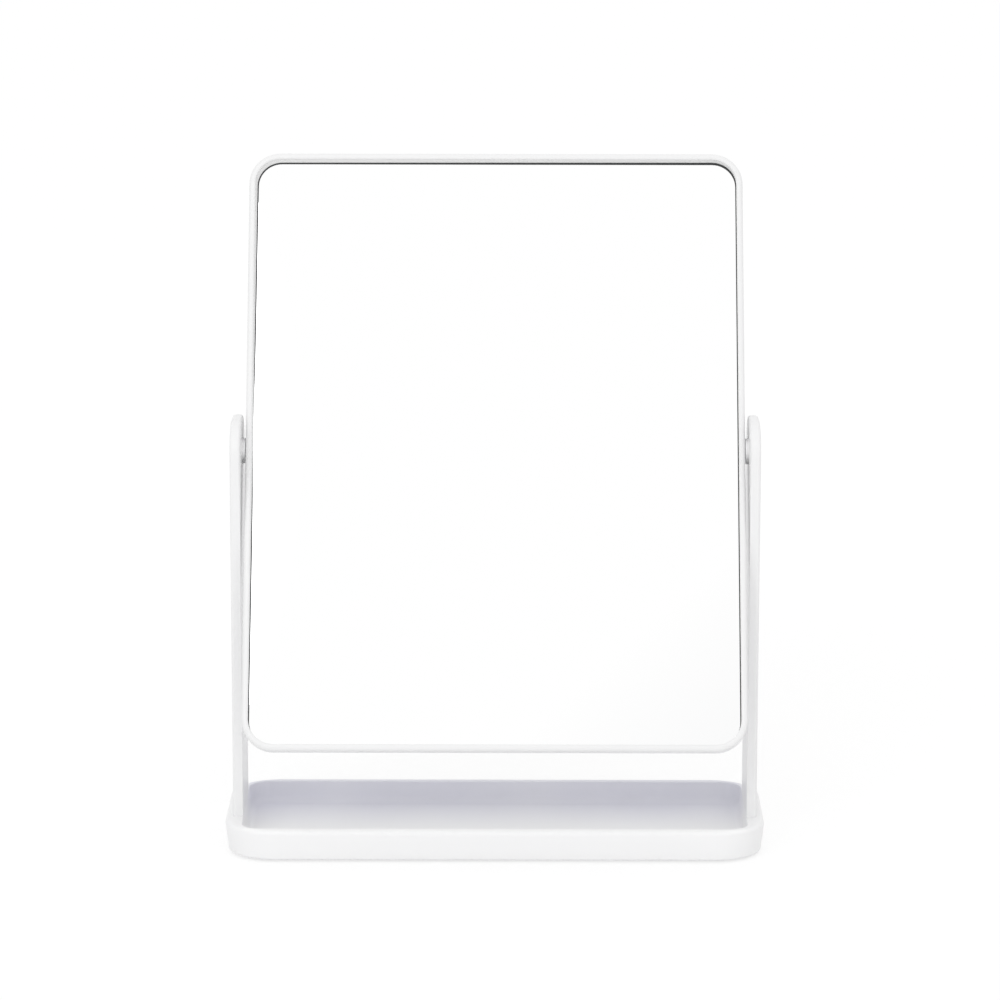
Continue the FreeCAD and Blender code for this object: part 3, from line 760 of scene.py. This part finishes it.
@dataclass
class MirrorHead:
    """The framed glass that turns about the pivots.

    Attributes:
        width: Frame, side to side.
        height: Frame, top to bottom.
        corner: Radius of the frame's corners.
        pivot_height: Turning axis above the table.
        lean: Lean back at rest, in degrees.
        bezel_face: Frame that shows beside the glass.
        glass_inset: Edge of the glass from the frame's side.
        glass_front: Front of the glass ahead of the axis.
        glass_thickness: Thickness of the glass.
        silver: Thickness of the silver and its paint at the back of the glass.
        paint_start: Where the dark border of painted shade begins, inside the frame's opening.
        paint_end: Where it ends.
        start_drop: How much lower the border's outer line sits than the frame's opening, left and right.
        end_drop: How much lower its inner line sits, left and right.
        left_shift: How far right the border's left line sits at the axis.
        left_lean: How much further right it sits for each metre up.
        right_shift: How far right the border's right line sits.
        thin_at: Height above the axis where the left line is thinnest.
        thin_reach: How far up and down from there it is thin.
        thin_by: How much thinner it is there.
        foam_inset: Middle of a cushion strip from the frame's side.
        foam_end_gap: Strip short of the corner of its rib.
        foam_width: Width of a strip.
        foam_thickness: Thickness of a strip.
        foam_swell: How far the sides of a strip bulge.
        foam_corner: Radius of a strip's corners.
        foam_section: Shares of the thickness, and of the swell that is drawn in there.
        frame_finish: Finish of the frame.
        cover_finish: Finish of the cover.
        silver_finish: Finish of the silver.
        edge_finish: Finish of the edge of the glass, with its painted shade.
        foam_finish: Finish of the strips.
        pieces: The new pieces of the head.
    """

    width: float = 0.1976
    height: float = 0.2429
    corner: float = 0.0125
    pivot_height: float = 0.1583
    lean: float = 24.6
    bezel_face: float = 0.0025
    glass_inset: float = 0.00165
    glass_front: float = 0.0048
    glass_thickness: float = 0.0020
    silver: float = 0.0001
    paint_start: float = 0.00026
    paint_end: float = 0.0007
    start_drop: Pair = (0.00055, 0.00028)
    end_drop: Pair = (0.00068, 0.00075)
    left_shift: float = 0.00005
    left_lean: float = 0.0039
    right_shift: float = 0.00034
    thin_at: float = 0.008
    thin_reach: float = 0.022
    thin_by: float = 0.0004
    foam_inset: float = 0.0165
    foam_end_gap: float = 0.0060
    foam_width: float = 0.0060
    foam_thickness: float = 0.0014
    foam_swell: float = 0.00035
    foam_corner: float = 0.00075
    foam_section: tuple[Pair, ...] = ((0.0, 1.0), (0.15, 1 / 3), (0.5, 0.0), (0.85, 1 / 3), (1.0, 1.0))
    # The frame's white is kept a little greyer than the tray's and the uprights': painted shade against the
    # strong light on its leaned-back face.
    frame_finish: Finish = MouldedPlastic("frame_moulding", (0.875, 0.875, 0.877), (0.857, 0.857, 0.860))
    cover_finish: Finish = MouldedPlastic("cover_moulding", (0.875, 0.875, 0.878), (0.857, 0.857, 0.860),
                                          (0.42, 0.55), Pattern(0.0006, 1.0), 0.000012)
    silver_finish: Finish = SilveredGlass("mirror_silver")
    edge_finish: Finish = GlassEdgeShade("glass_edge_painted_shade")
    foam_finish: Finish = ClosedCellFoam("foam_tape")
    pieces: list[bpy.types.Object] = field(default_factory=list)

    def stance(self) -> Matrix:
        """Give the place of the head: on the pivot, leaned back."""
        turn = Matrix.Rotation(-math.radians(self.lean), 4, "X")
        return Matrix.Translation((0.0, 0.0, self.pivot_height)) @ turn

    def outline(self, inset: float) -> Outline:
        """Draw the head's outline, moved inwards by a distance."""
        return rounded_outline(self.width - 2 * inset, self.height - 2 * inset, self.corner - inset)

    def keep(self, piece: bpy.types.Object, slot: str, finish: Finish, *nodes: str) -> bpy.types.Object:
        """Fasten a new piece to the head and list it; the arguments are those of fasten."""
        self.pieces.append(fasten(piece, Body.HEAD, slot, finish, *nodes))
        return piece

    def build_silver(self) -> None:
        """Lay the silver with its thin painted edge on the back of the glass."""
        mesh = bmesh.new()
        back = self.glass_front - self.glass_thickness
        rings = []
        for inset, depth in ((self.glass_inset, back), (self.glass_inset, back + self.silver / 2),
                             (self.glass_inset + self.silver / 2, back + self.silver)):
            rings.append([mesh.verts.new((x, -depth, z)) for x, z in self.outline(inset)])
        loft(mesh, rings)
        mesh.faces.new(rings[0])
        mesh.faces.new(rings[-1])
        silver = add_piece("silver_coat", mesh, self.stance())
        self.keep(silver, "mirror", self.silver_finish, "mirror_glass")

    def border(self, inset: float, drop: Pair, thin: float = 0.0) -> Outline:
        """Draw one line of the dark border of painted shade, which sits a little askew.

        Args:
            inset: Its distance from the head's side before it is set askew.
            drop: How much lower it then sits, left and right.
            thin: How far it bends outwards on the left.

        Returns:
            Points across and up.
        """
        points: Outline = []
        for x, z in refined(self.outline(inset)):
            right = x / self.width + 0.5
            left = 1.0 - right
            bend = thin * math.exp(-((z - self.thin_at) / self.thin_reach) ** 2)
            aside = left * (self.left_shift + self.left_lean * z - bend) + right * self.right_shift
            points.append((x + aside, z - left * drop[0] - right * drop[1]))
        return points

    def build_edge(self) -> None:
        """Put the ground edge of the glass and its dark border of painted shade under the frame's lip."""
        mesh = bmesh.new()
        silver = self.glass_front - self.glass_thickness + self.silver
        rings = []
        side, lip = refined(self.outline(self.glass_inset)), refined(self.outline(self.bezel_face))
        outer = self.border(self.bezel_face + self.paint_start, self.start_drop)
        inner = self.border(self.bezel_face + self.paint_end, self.end_drop, self.thin_by)
        for points, depth in ((side, silver - self.silver / 4), (inner, silver - self.silver / 4),
                              (inner, silver + self.silver / 2), (outer, silver + self.silver),
                              (lip, self.glass_front), (side, self.glass_front)):
            rings.append([mesh.verts.new((x, -depth, z)) for x, z in points])
        loft(mesh, [*rings, rings[0]])
        edge = add_piece("glass_edge", mesh, self.stance())
        self.keep(edge, "mirror", self.edge_finish, "mirror_glass")

    def build_foam(self) -> None:
        """Lay the cushion strips, with soft edges, between the cover's rib and the glass."""
        across = self.width - 2 * (self.foam_inset + self.foam_end_gap)
        upright = self.height - 2 * (self.foam_inset + self.foam_end_gap)
        side, end = self.width / 2 - self.foam_inset, self.height / 2 - self.foam_inset
        strips = {"top": (0.0, end, across, self.foam_width),
                  "bottom": (0.0, -end, across, self.foam_width),
                  "left": (-side, 0.0, self.foam_width, upright),
                  "right": (side, 0.0, self.foam_width, upright)}
        for name, (x, z, width, height) in strips.items():
            self.build_strip(name, Vector((x, 0.0, z)), width, height)

    def build_strip(self, name: str, middle: Vector, width: float, height: float) -> None:
        """Lay one cushion strip whose sides bulge a little under the glass.

        Args:
            name: Which strip.
            middle: Its middle on the head.
            width: Size across.
            height: Size up and down.
        """
        mesh = bmesh.new()
        back = self.glass_front - self.glass_thickness - self.foam_thickness
        rings = []
        for share, drawn_in in self.foam_section:
            inset = drawn_in * self.foam_swell
            points = rounded_outline(width - 2 * inset, height - 2 * inset, self.foam_corner, steps=4)
            depth = back + share * self.foam_thickness
            rings.append([mesh.verts.new((middle.x + x, -depth, middle.z + z)) for x, z in points])
        loft(mesh, rings)
        mesh.faces.new(rings[0])
        mesh.faces.new(rings[-1])
        strip = self.keep(add_piece(f"cushion_{name}", mesh, self.stance()), "foam", self.foam_finish,
                          f"foam_strip_{name}")

    def dress(self, nodes: dict[str, bpy.types.Object]) -> None:
        """Give the head's solids, found by name, their finishes."""
        self.frame_finish.give(nodes["bezel_frame"])
        self.cover_finish.give(nodes["rear_cover"])


@dataclass
class Upright:
    """A flat upright with a crisp inner edge, a round-cornered top, a pivot boss and a foot for its socket.

    Attributes:
        side: Which of the two it is.
        inner: Inner face of the blade from the middle of the stand.
        thickness: Thickness of the blade.
        depth: Blade from front to back.
        rim: Height of the rim that it stands on.
        pivot_height: Turning axis above the table.
        reach: Top of the blade above the axis.
        corner: Radius of the top corners.
        outer_edge: Rounding of the outer face's edges.
        inner_edge: Rounding of the inner face's edges.
        top_edge: The inner face's edges at the height of the axis and above.
        soften_from: Height where the inner face's edges begin to soften.
        boss_radius: Boss on the inside.
        boss_height: Boss from the inner face.
        boss_edge: Chamfered rim of the boss.
        bore_radius: Seat of the pin.
        bore_end: End of the seat, from the inner face outwards.
        tenon: Foot across and from front to back.
        tenon_length: Foot below the rim.
        tenon_shift: Foot outboard of the blade's middle.
        tenon_corner: Radius of the foot's vertical edges.
        tenon_lead: Chamfer round the end of the foot.
        pilot_radius: Holes for the screws.
        pilot_spacing: Between the two holes.
        pilot_length: Depth of the holes.
        finish: Its finish.
    """

    side: Side
    inner: float = 0.10033
    thickness: float = 0.0041
    depth: float = 0.0368
    rim: float = 0.0131
    pivot_height: float = 0.1583
    reach: float = 0.0133
    corner: float = 0.0130
    outer_edge: float = 0.0012
    inner_edge: float = 0.0003
    top_edge: float = 0.0011
    soften_from: float = 0.125
    boss_radius: float = 0.00525
    boss_height: float = 0.00075
    boss_edge: float = 0.00025
    bore_radius: float = 0.00202
    bore_end: float = 0.00312
    tenon: Pair = (0.0031, 0.0280)
    tenon_length: float = 0.0092
    tenon_shift: float = 0.0003
    tenon_corner: float = 0.0010
    tenon_lead: float = 0.0005
    pilot_radius: float = 0.00102
    pilot_spacing: float = 0.0160
    pilot_length: float = 0.0071
    finish: Finish = MouldedPlastic("arm_moulding", (0.890, 0.890, 0.893), (0.872, 0.872, 0.876))

    def profile(self, steps: int = 28) -> list[tuple[Vector, Vector]]:
        """Draw the blade from the side, from the front of the foot over the top to the back of the foot.

        Args:
            steps: Straight pieces in one top corner.

        Returns:
            For each point its place and the way outwards, along Y and Z.
        """
        half = self.depth / 2
        middle, level = half - self.corner, self.pivot_height + self.reach - self.corner
        heights = (self.rim, self.soften_from)
        points = [(Vector((-half, height)), Vector((-1.0, 0.0))) for height in heights]
        for corner, place in enumerate((-middle, middle)):
            for step in range(steps + 1):
                angle = math.pi - math.pi / 2 * (corner + step / steps)
                out = Vector((math.cos(angle), math.sin(angle)))
                points.append((Vector((place, level)) + self.corner * out, out))
        return points + [(Vector((half, height)), Vector((1.0, 0.0))) for height in reversed(heights)]

    def rounding(self, height: float) -> float:
        """Give the rounding of the inner face's edges at a height."""
        share = (height - self.soften_from) / (self.pivot_height - self.soften_from)
        return self.inner_edge + (self.top_edge - self.inner_edge) * min(max(share, 0.0), 1.0)

    def sections(self, mesh: bmesh.types.BMesh, steps: int = 6) -> list[Ring]:
        """Draw the blade's sections from its inner to its outer face.

        Args:
            mesh: The mesh.
            steps: Straight pieces in one rounded edge.

        Returns:
            The rings of points.
        """
        turns = [math.pi / 2 * step / steps for step in range(steps + 1)]
        rings = []
        for outer, turn in [(False, turn) for turn in turns] + [(True, turn) for turn in reversed(turns)]:
            ring = []
            for place, out in self.profile():
                edge = self.outer_edge if outer else self.rounding(place.y)
                across = edge * (1 - math.cos(turn))
                x = self.inner + (self.thickness - across if outer else across)
                y, z = place - out * edge * (1 - math.sin(turn))
                ring.append(mesh.verts.new((self.side.value * x, y, z)))
            rings.append(ring)
        return rings

    def circle(self, mesh: bmesh.types.BMesh, radius: float, across: float, steps: int = 48) -> Ring:
        """Draw a circle about the turning axis, at a place outwards from the blade's inner face."""
        x = self.side.value * (self.inner + across)
        return [mesh.verts.new((x, y, self.pivot_height + z)) for y, z in circle_outline(radius, steps)]

    def level(self, mesh: bmesh.types.BMesh, points: Outline, height: float) -> Ring:
        """Draw an outline, outwards and back, round the middle of the foot at a height."""
        middle = self.inner + self.thickness / 2 + self.tenon_shift
        return [mesh.verts.new((self.side.value * (middle + x), y, height)) for x, y in points]

    def build(self) -> bpy.types.Object:
        """Build the upright and fasten it to the stand.

        Returns:
            The piece.
        """
        mesh = bmesh.new()
        blade = self.sections(mesh)
        loft(mesh, blade, closed=False)
        fill(mesh, blade[-1])
        fill(mesh, blade[0], self.build_boss(mesh))
        sole = [ring[0] for ring in blade] + [ring[-1] for ring in reversed(blade)]
        fill(mesh, sole, self.build_tenon(mesh))
        piece = add_piece(f"{self.side.label}_upright", mesh, Matrix.Identity(4))
        return fasten(piece, Body.STAND, "arm_plastic", self.finish, f"{self.side.label}_arm")

    def build_boss(self, mesh: bmesh.types.BMesh) -> Ring:
        """Raise the boss with the seat of its pin.

        Args:
            mesh: The upright's mesh.

        Returns:
            The ring where the boss leaves the blade.
        """
        face = -self.boss_height
        turned = ((self.boss_radius, 0.0), (self.boss_radius, face + self.boss_edge),
                  (self.boss_radius - self.boss_edge, face), (self.bore_radius, face),
                  (self.bore_radius, self.bore_end))
        rings = [self.circle(mesh, radius, across) for radius, across in turned]
        loft(mesh, rings)
        fill(mesh, rings[-1])
        return rings[0]

    def build_tenon(self, mesh: bmesh.types.BMesh) -> Ring:
        """Draw the foot down into its socket, with the holes for its screws.

        Args:
            mesh: The upright's mesh.

        Returns:
            The ring where the foot leaves the blade.
        """
        end = self.rim - self.tenon_length
        rings = []
        for inset, height in ((0.0, self.rim), (0.0, end + self.tenon_lead), (self.tenon_lead, end)):
            width, length = (size - 2 * inset for size in self.tenon)
            points = rounded_outline(width, length, self.tenon_corner - inset, steps=6)
            rings.append(self.level(mesh, points, height))
        loft(mesh, rings)
        holes = []
        for place in (-self.pilot_spacing / 2, self.pilot_spacing / 2):
            points = [(x, place + y) for x, y in circle_outline(self.pilot_radius, steps=24)]
            mouth, tip = self.level(mesh, points, end), self.level(mesh, points, end + self.pilot_length)
            bridge(mesh, mouth, tip)
            fill(mesh, tip)
            holes.append(mouth)
        fill(mesh, rings[-1], *holes)
        return rings[0]


@dataclass
class Stand:
    """The tray, its feet and the screws that hold the uprights.

    Attributes:
        tray_finish: Finish of the tray.
        foot_finish: Finish of the feet.
        screw_finish: Finish of the screws.
    """

    tray_finish: Finish = TrayPlastic("tray_moulding", (0.940, 0.940, 0.944), (0.924, 0.924, 0.929))
    foot_finish: Finish = SoftRubber("foot_rubber")
    screw_finish: Finish = PlatedSteel("screw_steel", marks=Pattern(0.0012, 3.0, (1.0, 1.0, 8.0)))

    def dress(self, nodes: dict[str, bpy.types.Object]) -> None:
        """Give the stand's solids their finishes.

        Args:
            nodes: The frame's solids by name.
        """
        self.tray_finish.give(nodes["tray_shell"])
        for side in Side:
            for end in End:
                self.foot_finish.give(nodes[f"foot_{end.value}_{side.label}"])
                self.screw_finish.give(nodes[f"{side.label}_arm_screw_{end.value}"])


@dataclass
class Pivots:
    """The pins, washers and bearing blocks that the head turns on.

    Attributes:
        pin_finish: Finish of the pins.
        washer_finish: Finish of the washers.
        block_finish: Finish of the bearing blocks.
    """

    pin_finish: Finish = PlatedSteel("pin_steel")
    # White acetal, made a little whiter than the other plastics as painted light against the shade between
    # upright and head.
    washer_finish: Finish = MouldedPlastic("washer_acetal", (0.965, 0.965, 0.975), (0.945, 0.945, 0.955),
                                           (0.35, 0.5))
    block_finish: Finish = NaturalNylon("natural_nylon")

    def dress(self, nodes: dict[str, bpy.types.Object]) -> None:
        """Give the pivots' solids their finishes.

        Args:
            nodes: The frame's solids by name.
        """
        for side in Side:
            self.pin_finish.give(nodes[f"{side.label}_pivot_pin"])
            self.washer_finish.give(nodes[f"{side.label}_slip_washer"])
            self.block_finish.give(nodes[f"{side.label}_bearing_block"])


@dataclass
class Studio:
    """Floor, light and camera.

    Attributes:
        eye: Place of the camera.
        yaw: Turn of the view to the right, in degrees.
        pitch: Tilt of the view downwards, in degrees.
        roll: Lean of the camera, in degrees.
        focal: Focal length in pixels of the frame.
        frame_size: Width and height of the frame in pixels.
        sensor: Width of the camera's sensor, in millimetres.
        sky: Strength of the light from above.
        front: How much stronger it is from the front, and weaker from the back.
        overhead: How much stronger it is from straight above than from the horizon.
        sides: How much weaker it is from the left and the right.
        key: Strength of the soft lamp in front.
        key_size: Width of the lamp.
        key_place: Where it hangs.
        key_aim: What it points at.
        floor_reach: Size of the table top.
        floor_parts: Parts of the table top along one side.
        far: How far the camera sees.
        floor_finish: Finish of the table top.
    """

    eye: tuple[float, float, float] = (0.005356, -1.8, 0.508368)
    yaw: float = -0.111
    pitch: float = 11.614
    roll: float = 0.08
    focal: float = 4624.243
    frame_size: float = 1000.0
    sensor: float = 36.0
    sky: float = 1.04
    front: float = 0.11
    overhead: float = 0.03
    sides: float = 0.55
    key: float = 5.0
    key_size: float = 1.2
    key_place: tuple[float, float, float] = (-0.75, -1.7, 1.5)
    key_aim: tuple[float, float, float] = (0.0, 0.0, 0.12)
    floor_reach: float = 6.0
    floor_parts: int = 8
    far: float = 50.0
    floor_finish: Finish = StudioFloor("pale_table")

    def build(self) -> None:
        """Set everything round the object."""
        bpy.context.scene.view_settings.view_transform = "Standard"
        self.build_floor()
        self.build_sky()
        self.build_key()
        self.build_camera()

    def build_floor(self) -> None:
        """Lay the table top."""
        mesh = bmesh.new()
        parts = self.floor_parts
        bmesh.ops.create_grid(mesh, x_segments=parts, y_segments=parts, size=self.floor_reach)
        floor = add_piece("table_top", mesh, Matrix.Identity(4))
        self.floor_finish.give(floor)

    def build_sky(self) -> None:
        """Light the room softly, weaker from the back and the sides, and white where it is seen."""
        world = bpy.data.worlds.new("studio")
        bpy.context.scene.world = world
        world.use_nodes = True
        graph = Graph(world.node_tree)
        way = graph.add("ShaderNodeTexCoord", {}, {}, "Generated")
        right, back, up = (graph.add("ShaderNodeSeparateXYZ", {}, {0: way}, axis) for axis in "XYZ")
        light = self.sky - self.front * back + self.overhead * up - self.sides * (right * right)
        strength = light + (1.0 - light) * seen_rays(graph)
        room = graph.add("ShaderNodeBackground", {}, {"Color": WHITE, "Strength": strength})
        graph.add("ShaderNodeOutputWorld", {}, {"Surface": room})

    def build_key(self) -> None:
        """Hang a wide soft lamp in front, above and a little to the left."""
        lamp = bpy.data.lights.new("key", "AREA")
        lamp.shape = "DISK"
        lamp.size = self.key_size
        lamp.energy = self.key
        holder = bpy.data.objects.new("key", lamp)
        holder.location = self.key_place
        way = Vector(self.key_aim) - holder.location
        holder.rotation_euler = way.to_track_quat("-Z", "Y").to_euler()
        bpy.context.scene.collection.objects.link(holder)

    def build_camera(self) -> None:
        """Set the camera where the picture was taken from."""
        lens = bpy.data.cameras.new("camera")
        lens.sensor_width = self.sensor
        lens.lens = self.focal * self.sensor / self.frame_size
        lens.clip_end = self.far
        yaw, pitch, roll = (math.radians(angle) for angle in (self.yaw, self.pitch, self.roll))
        ahead = Vector((math.sin(yaw) * math.cos(pitch), math.cos(yaw) * math.cos(pitch), -math.sin(pitch)))
        right = Vector((math.cos(yaw), -math.sin(yaw), 0.0))
        up = right.cross(ahead)
        right, up = right * math.cos(roll) + up * math.sin(roll), up * math.cos(roll) - right * math.sin(roll)
        camera = bpy.data.objects.new("camera", lens)
        camera.matrix_world = Matrix.Translation(self.eye) @ Matrix((right, up, -ahead)).transposed().to_4x4()
        bpy.context.scene.collection.objects.link(camera)
        bpy.context.scene.camera = camera


def main() -> None:
    """Build the scene in order and report each piece."""
    logging.basicConfig(level=logging.INFO, format="%(message)s")
    nodes = frame["nodes"]
    stand, pivots, head, studio = Stand(), Pivots(), MirrorHead(), Studio()
    uprights = [Upright(side).build() for side in Side]
    stand.dress(nodes)
    pivots.dress(nodes)
    head.dress(nodes)
    head.build_silver()
    head.build_edge()
    head.build_foam()
    studio.build()
    for piece in [*uprights, *head.pieces]:
        LOG.info("%s: %d faces", piece.name, len(piece.data.polygons))


if __name__ == "__main__":
    main()
